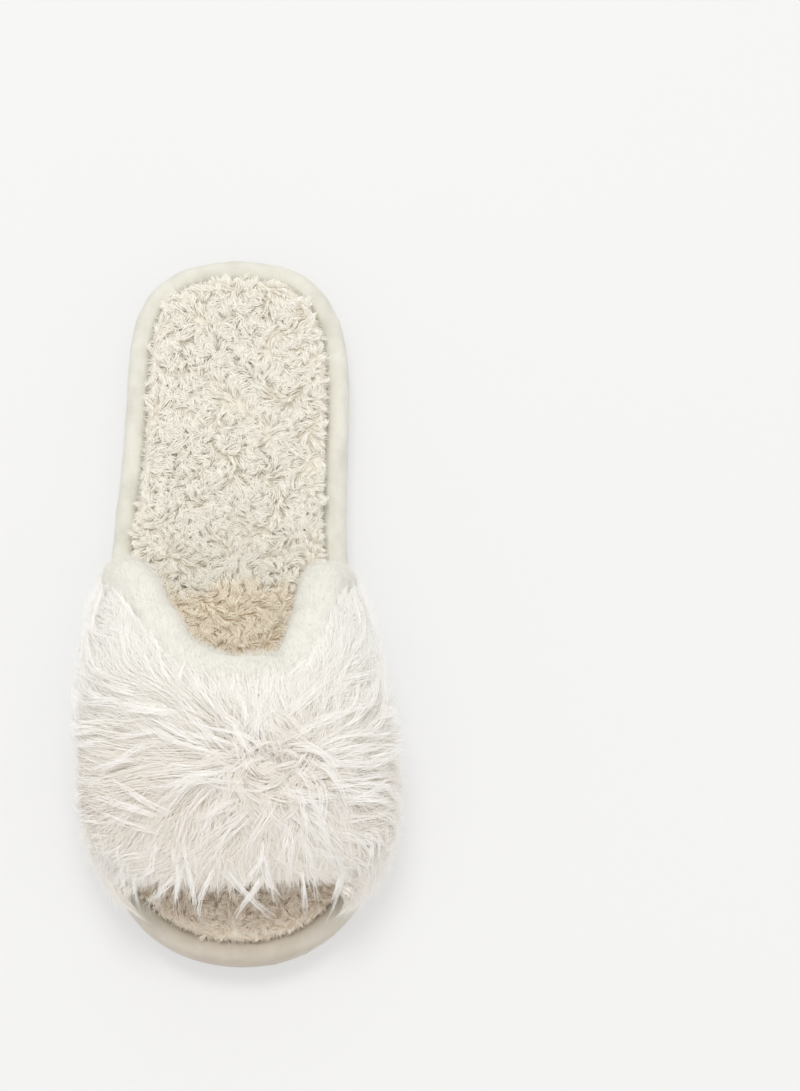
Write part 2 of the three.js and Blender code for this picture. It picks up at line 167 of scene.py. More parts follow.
def strand_uv(columns, rings):
    """Places on the pile's map: across is the strand's column, up is root to tip."""
    sides = STRAND_SIDES
    left = (np.floor(columns * PILE_COLUMNS) + 0.15) / PILE_COLUMNS
    width = 0.7 / PILE_COLUMNS
    side = np.arange(sides)
    ring = np.arange(rings - 1)
    low = (ring / rings)[:, None]
    high = ((ring + 1) / rings)[:, None]
    u0 = np.broadcast_to(width * side / sides, (rings - 1, sides))
    u1 = np.broadcast_to(width * (side + 1) / sides, (rings - 1, sides))
    low, high = np.broadcast_to(low, u0.shape), np.broadcast_to(high, u0.shape)
    quads = np.stack([np.stack([u0, low], -1), np.stack([u1, low], -1), np.stack([u1, high], -1),
                      np.stack([u0, high], -1)], -2).reshape(1, -1, 2)
    top = (rings - 1) / rings
    tips = np.stack([np.stack([width * side / sides, np.full(sides, top)], -1),
                     np.stack([width * (side + 1) / sides, np.full(sides, top)], -1),
                     np.stack([width * (side + 0.5) / sides, np.ones(sides)], -1)], -2).reshape(1, -1, 2)
    roots = np.array([[0, 0], [width, 0], [width / 2, 0.01]])[None]
    shift = np.stack([left, np.zeros(len(left))], -1)[:, None]
    return [(part + shift).reshape(-1, 2) for part in (quads, tips, roots)]


def strand_piece(name, paths, radii, columns, facing, material):
    """One object of tapered strands. paths is strands x points x 3 in mm, radii is strands x points, and
    facing is the way out of the surface they lie on, in which they are thinner. They are shaded flat, because
    smooth shading on such thin tubes loses light."""
    sides = STRAND_SIDES
    count, length, _ = paths.shape
    rings = length - 1
    tangents = unit(np.gradient(paths, axis=1))
    across = unit(np.cross(facing, tangents) + [1e-4, 2e-4, 1e-4])
    lift = np.cross(tangents, across)
    angle = math.pi / 2 + 2 * math.pi * np.arange(sides) / sides
    turn = across[:, :rings, None] * np.cos(angle)[:, None]
    turn = turn + STRAND_FLATNESS * lift[:, :rings, None] * np.sin(angle)[:, None]
    tubes = paths[:, :rings, None] + turn * radii[:, :rings, None, None]
    points = np.concatenate([tubes.reshape(count, -1, 3), paths[:, rings:]], 1)
    base = (np.arange(count) * points.shape[1])[:, None, None]
    quads = base + grid_faces(rings, sides, wrap_columns=True)[None]
    last = (rings - 1) * sides
    side = np.arange(sides)
    tip = np.full(sides, rings * sides)
    tips = base + np.stack([last + side, last + (side + 1) % sides, tip], -1)[None]
    roots = base + side[::-1][None, None]
    uv = np.concatenate(strand_uv(columns, rings))
    faces = (quads.reshape(-1, 4), tips.reshape(-1, 3), roots.reshape(-1, sides))
    return mesh_object(name, points, faces, material, uv, smooth=False)


def strand_pieces(name, paths, radii, columns, facing, material, slot, node):
    """As many objects of strands as it takes to keep each one small."""
    triangles = ((paths.shape[1] - 2) * 2 + 1) * STRAND_SIDES + 1
    parts = math.ceil(len(paths) * triangles / MOST_TRIANGLES)
    for k in range(parts):
        part = slice(k * len(paths) // parts, (k + 1) * len(paths) // parts)
        strands = [values[part] for values in (paths, radii, columns, facing)]
        piece_of(strand_piece(f"{name}_{k + 1}", *strands, material), slot, node)


# ---- Materials

PILE_ROUGHNESS = 0.8
WHITE = (1, 1, 1)
# The midway colour of the painted shade on the velour's toe.
TOE_SHADE_MIDWAY = (0.965, 0.945, 0.925)
# Stretches of the sole over which a colour changes, as y in metres. The two towards the toe carry painted
# shade on the plush and the velour.
WHORL_TO_THROAT = (-0.072, -0.022)
PLUSH_TOE_SHADE_SPAN = (-0.11, -0.05)
VELOUR_TOE_SHADE_SPAN = (-0.128, -0.06)


def new_material(name, colour, roughness, sheen=0.0):
    material = bpy.data.materials.new(name)
    material.use_nodes = True
    shader = material.node_tree.nodes["Principled BSDF"]
    shader.inputs["Base Color"].default_value = (*colour, 1)
    shader.inputs["Roughness"].default_value = roughness
    shader.inputs["Sheen Weight"].default_value = sheen
    shader.inputs["Sheen Roughness"].default_value = 0.4
    shader.inputs["Specular IOR Level"].default_value = 0.2
    return material, material.node_tree, shader


def add_node(tree, kind, settings=None, **inputs):
    node = tree.nodes.new(kind)
    for key, value in (settings or {}).items():
        setattr(node, key, value)
    for key, value in inputs.items():
        socket = node.inputs[key.replace("_", " ")]
        if isinstance(value, bpy.types.NodeSocket):
            tree.links.new(value, socket)
        else:
            socket.default_value = value
    return node


def ramp(tree, factor, stops):
    node = add_node(tree, "ShaderNodeValToRGB", Fac=factor)
    elements = node.color_ramp.elements
    while len(elements) < len(stops):
        elements.new(0.5)
    for element, (place, colour) in zip(elements, stops):
        element.position = place
        element.color = (*colour, 1)
    return node.outputs["Color"]


def texture_noise(tree, scale, detail):
    place = add_node(tree, "ShaderNodeTexCoord").outputs["Object"]
    node = add_node(tree, "ShaderNodeTexNoise", Vector=place, Scale=scale, Detail=detail, Roughness=0.55)
    return node.outputs["Fac"]


def blended(tree, factor, first, second, kind="MIX"):
    node = add_node(tree, "ShaderNodeMix", {"data_type": "RGBA", "blend_type": kind})
    for socket, value in ((node.inputs[0], factor), (node.inputs[6], first), (node.inputs[7], second)):
        if isinstance(value, bpy.types.NodeSocket):
            tree.links.new(value, socket)
        elif isinstance(value, tuple):
            socket.default_value = (*value, 1)
        else:
            socket.default_value = value
    return node.outputs[2]


def bumped(tree, shader, height, strength, distance):
    bump = add_node(tree, "ShaderNodeBump", Height=height, Strength=strength, Distance=distance)
    tree.links.new(bump.outputs["Normal"], shader.inputs["Normal"])


def share_of_way(tree, span):
    """0 at the first of two places along the sole, rising to 1 at the second. They are y in metres."""
    place = add_node(tree, "ShaderNodeTexCoord").outputs["Object"]
    y = add_node(tree, "ShaderNodeSeparateXYZ", Vector=place).outputs["Y"]
    node = add_node(tree, "ShaderNodeMapRange", Value=y, From_Min=span[0], From_Max=span[1])
    return node.outputs["Result"]


def pile_material(name, root, tip, spread, *, tan_root=None, tan_tip=None, pale=None, painted_toe_shade=None):
    """Pile whose colour follows its map: across is a strand's own shade, up is root to tip. With a second
    pair of colours, the map's right half has those. A pale colour is taken on towards the throat, and painted
    shade darkens the pile towards the toe."""
    material, tree, shader = new_material(name, tip, PILE_ROUGHNESS)
    uv = add_node(tree, "ShaderNodeUVMap", {"uv_map": PILE_MAP}).outputs["UV"]
    parts = add_node(tree, "ShaderNodeSeparateXYZ", Vector=uv)
    column = add_node(tree, "ShaderNodeMath", {"operation": "MULTIPLY"})
    tree.links.new(parts.outputs["X"], column.inputs[0])
    column.inputs[1].default_value = PILE_COLUMNS
    whole = add_node(tree, "ShaderNodeMath", {"operation": "FLOOR"})
    tree.links.new(column.outputs[0], whole.inputs[0])
    chance = add_node(tree, "ShaderNodeTexWhiteNoise", {"noise_dimensions": "1D"}, W=whole.outputs[0])
    colour = blended(tree, parts.outputs["Y"], root, tip)
    if tan_root:
        tan = blended(tree, parts.outputs["Y"], tan_root, tan_tip)
        half = add_node(tree, "ShaderNodeMath", {"operation": "GREATER_THAN"})
        tree.links.new(parts.outputs["X"], half.inputs[0])
        half.inputs[1].default_value = 0.5
        colour = blended(tree, half.outputs[0], colour, tan)
    shade = ramp(tree, chance.outputs["Value"], [(0.0, (1 - spread,) * 3), (1.0, (1.0,) * 3)])
    colour = blended(tree, 1.0, colour, shade, "MULTIPLY")
    if pale:
        colour = blended(tree, share_of_way(tree, WHORL_TO_THROAT), colour, pale)
    # Painted shade: the pile darkens towards the toe, standing in for the shadow that falls there.
    if painted_toe_shade:
        toe_shade_ramp = ramp(tree, share_of_way(tree, PLUSH_TOE_SHADE_SPAN), [(0.0, painted_toe_shade), (1.0, WHITE)])
        colour = blended(tree, 1.0, colour, toe_shade_ramp, "MULTIPLY")
    tree.links.new(colour, shader.inputs["Base Color"])
    return material


def cloth_material(name, light, dark, scale, roughness, sheen, bump=0.4, depth=0.0004, painted_toe_shade=None):
    """Cloth with a fine nap: two shades of it, a broad unevenness, and painted shade, darker and pinker
    towards the toe. The nap's scale is per metre, and the depth of its bumps is in metres."""
    material, tree, shader = new_material(name, light, roughness, sheen)
    fine = texture_noise(tree, scale, 4.0)
    broad = texture_noise(tree, scale / 22, 2.0)
    tone = add_node(tree, "ShaderNodeMath", {"operation": "MULTIPLY_ADD"})
    tree.links.new(fine, tone.inputs[0])
    tone.inputs[1].default_value = 0.55
    tree.links.new(broad, tone.inputs[2])
    colour = ramp(tree, tone.outputs[0], [(0.5, dark), (0.95, light)])
    # Painted shade: darker and pinker towards the toe tip, whose side faces away from the key light.
    if painted_toe_shade:
        stops = [(0.0, painted_toe_shade), (0.4, TOE_SHADE_MIDWAY), (1.0, WHITE)]
        toe_shade_ramp = ramp(tree, share_of_way(tree, VELOUR_TOE_SHADE_SPAN), stops)
        colour = blended(tree, 1.0, colour, toe_shade_ramp, "MULTIPLY")
    tree.links.new(colour, shader.inputs["Base Color"])
    rough = ramp(tree, fine, [(0.3, (roughness - 0.08,) * 3), (0.7, (min(roughness + 0.08, 1.0),) * 3)])
    tree.links.new(rough, shader.inputs["Roughness"])
    bumped(tree, shader, fine, bump, depth)
    return material


# ---- The sole's outline, read from the CAD model's sole cover


def sole_ring(count=900, spread=3.6):
    """The outline of the sole's side, smoothed over its facets: points in mm and outward normals."""
    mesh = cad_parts["midsole_cover"].data
    tree = BVHTree.FromPolygons([v.co for v in mesh.vertices], [tuple(p.vertices) for p in mesh.polygons])
    height = (COVER_BASE + PLATFORM_TOP) / 2 * MM
    hits = []
    for angle in np.linspace(0, 2 * math.pi, count, endpoint=False):
        way = Vector((math.cos(angle), math.sin(angle), 0))
        start = way * 0.3 + Vector((0, 0, height))
        hit = tree.ray_cast(start, -way)[0]
        hits.append((hit.x / MM, hit.y / MM))
    ring = np.array(hits)
    for _ in range(2):
        steps = np.linalg.norm(np.roll(ring, -1, 0) - ring, axis=1)
        places = np.concatenate([[0], np.cumsum(steps)])
        even = np.linspace(0, places[-1], count, endpoint=False)
        closed = np.vstack([ring, ring[:1]])
        ring = np.stack([np.interp(even, places, closed[:, k]) for k in (0, 1)], 1)
    waves = np.fft.fftfreq(count, places[-1] / count) * 2 * math.pi
    blur = np.exp(-0.5 * (waves * spread) ** 2)[:, None]
    ring = np.fft.ifft(np.fft.fft(ring, axis=0) * blur, axis=0).real
    along = np.roll(ring, -1, 0) - np.roll(ring, 1, 0)
    normal = unit(np.stack([along[:, 1], -along[:, 0]], 1))
    return ring, normal


RING, RING_NORMAL = sole_ring()


def inset_ring(inset):
    """The outline moved inwards by a distance in mm."""
    return RING - RING_NORMAL * inset


def inset_of(points):
    """How far inside the outline each plan point is, and the outward way at the nearest place on it."""
    insets = np.empty(len(points))
    ways = np.empty((len(points), 2))
    for k in range(0, len(points), 4000):
        some = points[k:k + 4000]
        nearest = np.argmin(((some[:, None] - RING[None]) ** 2).sum(-1), 1)
        ways[k:k + 4000] = RING_NORMAL[nearest]
        insets[k:k + 4000] = ((RING[nearest] - some) * RING_NORMAL[nearest]).sum(1)
    return insets, ways


def side_table(inset):
    """The lateral and medial x of an inset outline over a range of y."""
    ring = inset_ring(inset)
    y = np.linspace(ring[:, 1].min() + 0.5, ring[:, 1].max() - 0.5, 500)
    sides = []
    for sign in (-1, 1):
        half = ring[ring[:, 0] * sign > 0]
        order = np.argsort(half[:, 1])
        sides.append(np.interp(y, half[order, 1], half[order, 0]))
    return y, sides[0], sides[1]


SIDES = side_table(CLOTH_INSET)

# ---- The strap's arch. Across it, t runs from -1 at the lateral foot over the top to 1 at the medial foot.


def from_toe(distance):
    return -LENGTH / 2 + distance


def front_y(t):
    return from_toe(FRONT_MIDDLE + (FRONT_SIDES - FRONT_MIDDLE) * t * t)


def throat_y(t):
    reach = np.where(t < THROAT_LOWEST, THROAT_LATERAL[0], THROAT_MEDIAL[0])
    flatness = np.where(t < THROAT_LOWEST, THROAT_LATERAL[1], THROAT_MEDIAL[1])
    rise = 1 - np.exp(-((np.abs(t - THROAT_LOWEST) / reach) ** flatness))
    return from_toe(THROAT_MIDDLE + (THROAT_SIDES - THROAT_MIDDLE) * rise)


def apex_z(y):
    front = from_toe(FRONT_MIDDLE)
    share = np.clip((y - front) / (from_toe(THROAT_MIDDLE) - front), -1, 1)
    return ARCH_FOOT + ARCH_FRONT + (ARCH_REAR - ARCH_FRONT) * np.sin(math.pi / 2 * share)


def section(t, y, straight):
    """x and z of the strap's cloth. Below its widest line it turns in, or hangs straight for its fur."""
    lateral = np.interp(y, SIDES[0], SIDES[1])
    medial = np.interp(y, SIDES[0], SIDES[2])
    middle, foot_half = (lateral + medial) / 2, (medial - lateral) / 2
    equator_half = foot_half + ARCH_BULGE
    equator_z = ARCH_FOOT + EQUATOR_RISE
    below = np.arccos(foot_half / equator_half)
    angle = np.abs(t) * (math.pi / 2 + below)
    side = np.sign(t)
    under = np.maximum(angle - math.pi / 2, 0)
    power = 2 / SQUARENESS
    over = np.minimum(angle, math.pi / 2)
    top_x = middle + side * equator_half * np.sin(over) ** power
    top_z = equator_z + (apex_z(y) - equator_z) * np.maximum(np.cos(over), 0) ** power
    if straight:
        low_x = middle + side * equator_half
        low_z = equator_z - EQUATOR_RISE * under / below
    else:
        low_x = middle + side * equator_half * np.cos(under)
        low_z = equator_z - EQUATOR_RISE * np.sin(under) / np.sin(below)
    low = angle > math.pi / 2
    return np.where(low, low_x, top_x), np.where(low, low_z, top_z)


def arch(t, y, offset, straight=False):
    """Points of the arch at an offset square to the middle of the strap's cloth."""
    t, y, offset = np.broadcast_arrays(np.asarray(t, float), np.asarray(y, float), np.asarray(offset, float))
    nudge = 0.02
    x0, z0 = section(t - nudge, y, straight)
    x1, z1 = section(t + nudge, y, straight)
    size = np.hypot(x1 - x0, z1 - z0)
    x, z = section(t, y, straight)
    return np.stack([x - (z1 - z0) / size * offset, y, z + (x1 - x0) / size * offset], -1)


def collar_radius(t):
    return COLLAR_RADIUS + (COLLAR_END_RADIUS - COLLAR_RADIUS) * np.minimum(t * t, 1)


def binding_radius(t):
    return np.full(np.shape(t), BINDING_RADIUS)


def slant(edge_y, t):
    """How much longer a step along y is than the same step square to an edge of the strap."""
    nudge = 0.02
    x0, z0 = section(t - nudge, edge_y(t), False)
    x1, z1 = section(t + nudge, edge_y(t), False)
    return np.hypot(1, (edge_y(t + nudge) - edge_y(t - nudge)) / np.hypot(x1 - x0, z1 - z0))


def collar_width(t):
    """The radius the fleece roll is given, which is slimmer than the CAD's towards its ends."""
    return np.interp(np.abs(t), [0, 0.5, 0.75, 1], [7, 7.4, 6.2, 5.0])


def beside_edge(edge_y, t, distance):
    return edge_y(t) + distance * slant(edge_y, t)


# ---- Camera, light and ground

STUDIO_WHITE = (1.0, 0.985, 0.96)


def add_camera():
    """The photograph's view: nearly straight down, tilted a little towards the heel."""
    data = bpy.data.cameras.new("camera")
    data.sensor_width = 36
    data.lens = 137
    target = Vector((0.0567, 0.0257, 0.0))
    elevation, distance = math.radians(79), 1.5
    back = Vector((0, -math.cos(elevation), math.sin(elevation)))
    camera = bpy.data.objects.new("camera", data)
    camera.location = target + back * distance
    camera.rotation_mode = "QUATERNION"
    camera.rotation_quaternion = (-back).to_track_quat("-Z", "Y")
    bpy.context.scene.collection.objects.link(camera)
    bpy.context.scene.camera = camera


def add_key_light(place, size, power):
    """A soft disc high up behind the heel, aimed at the middle of the sole."""
    data = bpy.data.lights.new("key", "AREA")
    data.shape = "DISK"
    data.size = size
    data.energy = power
    data.color = STUDIO_WHITE
    light = bpy.data.objects.new("key", data)
    light.location = place
    light.rotation_mode = "QUATERNION"
    light.rotation_quaternion = (-Vector(place)).to_track_quat("-Z", "Y")
    bpy.context.scene.collection.objects.link(light)


def add_stage():
    """Even light from all round, the key light, and a pale ground that gives off part of its own brightness,
    so that shadows on it stay faint."""
    scene = bpy.context.scene
    scene.view_settings.view_transform = "Standard"
    scene.cycles.diffuse_bounces = FUR_BOUNCES
    scene.cycles.max_bounces = FUR_BOUNCES + 4
    world = bpy.data.worlds.new("studio")
    world.use_nodes = True
    background = world.node_tree.nodes["Background"]
    background.inputs["Color"].default_value = (*STUDIO_WHITE, 1)
    background.inputs["Strength"].default_value = 0.85
    scene.world = world
    add_key_light((-0.04, 0.5, 1.72), 0.6, 10.5)
    material, tree, shader = new_material("ground_paper", (0.44, 0.444, 0.448), 0.9)
    tone = texture_noise(tree, 3.0, 2.0)
    colour = ramp(tree, tone, [(0.3, (0.436, 0.44, 0.444)), (0.7, (0.444, 0.448, 0.452))])
    tree.links.new(colour, shader.inputs["Base Color"])
    shader.inputs["Emission Color"].default_value = (1, 1, 1, 1)
    shader.inputs["Emission Strength"].default_value = 0.41
    half = 3000
    corners = [(-half, -half, 0), (half, -half, 0), (half, half, 0), (-half, half, 0)]
    mesh_object("ground", corners, [[0, 1, 2, 3]], material, smooth=False)


# ---- Sole


def rim_cover(material):
    """The velour cover: under the sole's edge, up its side, over the rim's roll and under the footbed."""
    profile = catmull_rom([
        (12.0, 4.35), (6.0, 4.35), (1.6, 4.4), (0.35, 5.1), (0.0, 7.5), (-0.15, 11.5), (0.0, 15.4),
        (0.45, 17.7), (1.5, 19.5), (3.0, 20.5), (4.7, 20.7), (6.3, 20.3), (7.5, 19.3), (8.2, 18.5),
        (9.8, 18.3), (18.0, 18.3),
    ], 64)
    uneven = noise_field(11, 17)
    ripple = noise_field(12, 5.5)
    rows = []
    for inset, z in profile:
        ring = np.column_stack([inset_ring(inset), np.full(len(RING), z)])
        ease = smooth_step(z, 7, 17) * smooth_step(9.0 - inset, 0, 3)
        ring[:, 2] += ease * (0.13 * uneven(ring) + 0.05 * ripple(ring))
        ring[:, :2] += RING_NORMAL * (ease * (0.1 * uneven(ring * [1, 1, 2]) + 0.03 * ripple(ring)))[:, None]
        rows.append(ring)
    faces = grid_faces(len(rows), len(RING), wrap_columns=True)
    return mesh_object("rim_cover", np.array(rows), faces, material)


def short_pile(name, roots, normals, lean, length, radius, seed, material, slot, node, columns=None):
    """A nap of short hairs that stand on a surface and lean one way. roots and normals are n x 3 in mm."""
    rng = np.random.default_rng(seed)
    count, points = len(roots), 4
    drift = rng.normal(size=(count, 3))
    ways = unit(normals + lean + 0.38 * drift)
    bend = unit(lean + 0.5 * rng.normal(size=(count, 3)) - 0.2 * normals)
    lengths = length * rng.uniform(0.6, 1.15, (count, 1, 1))
    s = np.linspace(0, 1, points)[None, :, None]
    paths = roots[:, None] + lengths * (ways[:, None] * s + 0.45 * bend[:, None] * s**2)
    radii = radius * np.linspace(1, 0.35, points)[None] * rng.uniform(0.8, 1.2, (count, 1))
    facing = np.broadcast_to(normals[:, None], paths.shape)
    columns = rng.uniform(0, 0.999, count) if columns is None else columns
    strand_pieces(name, paths, radii, columns, facing, material, slot, node)


def footbed_pad(material):
    """The footbed's padded base, under its pile."""
    lump = noise_field(21, 30)
    profile = catmull_rom([
        (11.5, 19.9), (9.0, 20.2), (8.9, 21.6), (9.2, 22.9), (10.0, 23.9), (12.0, 24.3), (16.0, 24.4),
        (24.0, 24.5),
    ], 26)
    rows = []
    for inset, z in profile:
        ring = np.column_stack([inset_ring(inset), np.full(len(RING), z)])
        rows.append(ring)
    rim = rows[-1].copy()
    middle_line = np.column_stack([np.zeros(len(RING)), np.clip(rim[:, 1], -85, 85), rim[:, 2]])
    for share in np.linspace(0, 1, 12)[1:]:
        rows.append(rim + (middle_line - rim) * share)
    points = np.array(rows)
    points[..., 2] += 0.2 * lump(points) * smooth_step(points[..., 2], 24.2, 24.5)
    faces = grid_faces(len(rows), len(RING), wrap_columns=True)
    return mesh_object("footbed_pad", points, faces, material)


# The plush is tan on the toe's side of the tan line and stands on the height of its base. It is thinner where
# the strap hides it and reaches further out in the corners between strap and toe. The corners' width is along
# y, their reach is across the sole's edge, and the other places but the base are y.
TAN_LINE = 5.0
PLUSH_BASE = 24.6
HIDDEN_FROM, HIDDEN_TO = -80, -16
CORNER, CORNER_WIDTH, CORNER_REACH = -99, 7, 2.4
SIDE_SEEN_BEFORE, SIDE_SEEN_AFTER = -84, 1


def tan_edge(points):
    return TAN_LINE + 1.8 * noise_field(35, 18)(points)


def plush_clumps(seed):
    """Where the footbed's tufts grow."""
    rng = np.random.default_rng(seed)
    pitch = 1.75
    x, y = np.meshgrid(np.arange(-46, 46, pitch), np.arange(-122, 122, pitch * 0.87))
    x = x + pitch / 2 * (np.arange(len(y)) % 2)[:, None]
    centres = np.column_stack([x.ravel(), y.ravel()]) + rng.uniform(-0.45, 0.45, (x.size, 2)) * pitch
    insets, ways = inset_of(centres)
    y = centres[:, 1]
    hidden = (y > HIDDEN_FROM) & (y < HIDDEN_TO)
    corner = np.exp(-(((y - CORNER) / CORNER_WIDTH) ** 2))
    kept = insets > FOOTBED_INSET + 0.3 - CORNER_REACH * corner
    kept &= ~hidden | (rng.random(len(centres)) < 0.3)
    return centres[kept], insets[kept], ways[kept], rng


def footbed_plush(material):
    """Curly plush: small tufts that swirl in patches and hang over the groove beside the rim."""
    centres, insets, ways, rng = plush_clumps(31)
    flat = np.column_stack([centres, np.zeros(len(centres))])
    swirl = 2.6 * noise_field(32, 34)(flat) + 1.5 * noise_field(33, 12)(flat)
    heading = swirl + rng.normal(0, 0.4, len(centres))
    lay = np.column_stack([np.cos(heading), np.sin(heading)])
    near_edge = 1 - smooth_step(insets, FOOTBED_INSET - 1, FOOTBED_INSET + 5)
    lay = unit(lay + ways * (0.3 * near_edge)[:, None])
    per_clump = 10
    count = len(centres) * per_clump
    owner = np.repeat(np.arange(len(centres)), per_clump)
    clump_length = rng.uniform(4.6, 7.4, len(centres)) * (1 - 0.45 * near_edge)
    rise = rng.uniform(1.7, 2.9, len(centres)) * (1 - 0.25 * near_edge)
    scatter = rng.normal(0, 0.52, (count, 2))
    lengths = clump_length[owner] * rng.uniform(0.72, 1.1, count)
    turn = rng.normal(0, 0.6, len(centres))[owner] + rng.normal(0, 0.25, count)
    s = np.linspace(0, 1, 5)
    along = lay[owner]
    square = np.column_stack([-along[:, 1], along[:, 0]])
    gather = 1 - 0.6 * s**0.8
    curve = np.sin(s * 2.2)[None] * turn[:, None] * 0.35
    plan = (
        centres[owner][:, None]
        + scatter[:, None] * gather[None, :, None]
        + along[:, None] * (lengths[:, None] * s[None])[..., None] * 0.86
        + square[:, None] * (lengths[:, None] * curve)[..., None]
    )
    wave = 0.2 * np.sin(s[None] * rng.uniform(5, 10, (count, 1)) + rng.uniform(0, 6.28, (count, 1)))
    plan += square[:, None] * (wave * s[None] * 1.4)[..., None]
    arc = np.sin(np.minimum(s * 1.15, 1.15) * math.pi * 0.62)
    low = PLUSH_BASE - 1.4 * (1 - smooth_step(insets, FOOTBED_INSET - 1, FOOTBED_INSET + 3))[owner]
    z = low[:, None] + (rise[owner] * rng.uniform(0.8, 1.15, count))[:, None] * arc[None]
    z -= (near_edge[owner] * rng.uniform(0.7, 1.3, count))[:, None] * (s**2)[None] * 1.6
    z += 0.3 * noise_field(34, 26)(np.dstack([plan, np.zeros(plan.shape[:2])]))
    paths = np.dstack([plan, z])
    inset_all, _ = inset_of(plan.reshape(-1, 2))
    inset_all = inset_all.reshape(plan.shape[:2])
    floor = np.interp(inset_all, [4.5, FOOTBED_INSET - 1, FOOTBED_INSET + 1], [21.0, 20.6, PLUSH_BASE - 1.5])
    paths[..., 2] = np.maximum(paths[..., 2], floor)
    taper = np.array([1.0, 1.0, 0.95, 0.75, 0.2])
    radii = 0.155 * rng.uniform(0.75, 1.3, (count, 1)) * taper[None]
    is_tan = (centres[:, 1] < tan_edge(flat))[owner]
    columns = rng.uniform(0, 0.499, count) + 0.5 * is_tan
    sideways = np.column_stack([ways * (0.6 * near_edge)[:, None], np.ones(len(centres))])
    facing = np.broadcast_to(unit(sideways)[owner][:, None], paths.shape)
    strand_pieces("footbed_plush", paths, radii, columns, facing, material, "plush", "footbed_plush")


def footbed_edge(material):
    """Tufts that hang down the footbed's side, where the strap does not cover it."""
    rng = np.random.default_rng(36)
    count = 15000
    place = rng.uniform(0, len(RING), count)
    k = place.astype(int)
    rest = (place - k)[:, None]
    ahead = (k + 1) % len(RING)
    spot = RING[k] * (1 - rest) + RING[ahead] * rest
    way = unit(RING_NORMAL[k] * (1 - rest) + RING_NORMAL[ahead] * rest)
    z = rng.uniform(20.9, 24.1, count)
    roots = np.column_stack([spot - way * np.interp(z, [20.4, 22.8, 24.3], [9.2, 9.5, 12.0])[:, None], z])
    seen = (roots[:, 1] > SIDE_SEEN_AFTER) | (roots[:, 1] < SIDE_SEEN_BEFORE)
    roots, way = roots[seen], way[seen]
    normals = unit(np.column_stack([way, np.full(len(way), 0.15)]))
    lean = np.array([0, 0, -0.7]) + 0.3 * rng.normal(size=(len(way), 3))
    is_tan = roots[:, 1] < tan_edge(roots * [1, 1, 0])
    columns = rng.uniform(0, 0.499, len(way)) + 0.5 * is_tan
    short_pile("footbed_edge", roots, normals, lean, 2.5, 0.15, 37, material, "plush", "footbed_plush",
               columns)


# ---- Strap


def arch_layer(name, outer, inner, material, lump, seed):
    """A closed layer of the strap between two offsets from its cloth, a little lumpy on its outer side."""
    across, along = 90, 34
    t = np.linspace(-0.985, 0.985, across)[:, None]
    front = beside_edge(front_y, t, BINDING_RADIUS / 2)
    rear = beside_edge(throat_y, t, -collar_radius(t) / 2)
    v = np.linspace(0, 1, along)[None]
    y = front + (rear - front) * v
    field = noise_field(seed, 9)
    top = arch(t, y, outer)
    top = arch(t, y, outer + lump * field(top))
    bottom = arch(t, y, inner)
    loop = np.concatenate([top, bottom[:, ::-1]], 1)
    faces = grid_faces(across, loop.shape[1], wrap_columns=True)[:, ::-1]
    ends = []
    for row in (0, across - 1):
        for k in range(along - 1):
            a, b = row * loop.shape[1] + k, row * loop.shape[1] + k + 1
            c, d = (row + 1) * loop.shape[1] - 2 - k, (row + 1) * loop.shape[1] - 1 - k
            ends.append([a, d, c, b] if row else [a, b, c, d])
    return mesh_object(name, loop, (faces, np.array(ends)), material)


WHORL = np.array([11.0, -66.0, 70.0])
# The offset from the strap's cloth at which the locks' lines run, and about how far one unit of t reaches.
LOCK_OFFSET = 4.0
MM_PER_T = 75


def fur_flow(t, y, twist):
    """Steps of t and y, per mm, along the fur's lie: outwards from the whorl and a little round it."""
    nudge_t, nudge_y = 0.01, 0.5
    here = arch(t, y, LOCK_OFFSET, True)
    across = (arch(t + nudge_t, y, LOCK_OFFSET, True) - here) / nudge_t
    along = (arch(t, y + nudge_y, LOCK_OFFSET, True) - here) / nudge_y
    normal = unit(np.cross(across, along))
    away = here - WHORL
    distance = np.linalg.norm(away, axis=-1, keepdims=True)
    away = away - normal * (away * normal).sum(-1, keepdims=True)
    away = unit(away)
    sideways = np.cross(normal, away)
    bend = twist[..., None] + 0.5 * np.exp(-distance / 16)
    way = away * np.cos(bend) + sideways * np.sin(bend)
    aa, ab, bb = ((p * q).sum(-1) for p, q in ((across, across), (across, along), (along, along)))
    wa, wb = (way * across).sum(-1), (way * along).sum(-1)
    det = aa * bb - ab * ab
    return (wa * bb - wb * ab) / det, (wb * aa - wa * ab) / det


def fur_tracks(t, y, twist, steps, stride):
    """The lines that locks of fur follow over the strap, as t and y at every stride."""
    ts, ys = [t], [y]
    for _ in range(steps):
        step_t, step_y = fur_flow(ts[-1], ys[-1], twist)
        ts.append(np.clip(ts[-1] + step_t * stride, -1.2, 1.2))
        ys.append(ys[-1] + step_y * stride)
        twist = twist * 0.985
    return np.stack(ts, 1), np.stack(ys, 1)


def crown(t, y):
    """How far the fur's top stands off the strap's cloth."""
    front, rear = front_y(t), throat_y(t)
    v = np.clip((y - front) / (rear - front), 0, 1)
    share = 0.5 - 0.15 * v
    lengthways = share + (1 - share) * np.sin(math.pi * v) ** 0.6
    return FUR_THICKNESS * lengthways * (1 - 0.4 * np.minimum(np.abs(t), 1) ** 6)


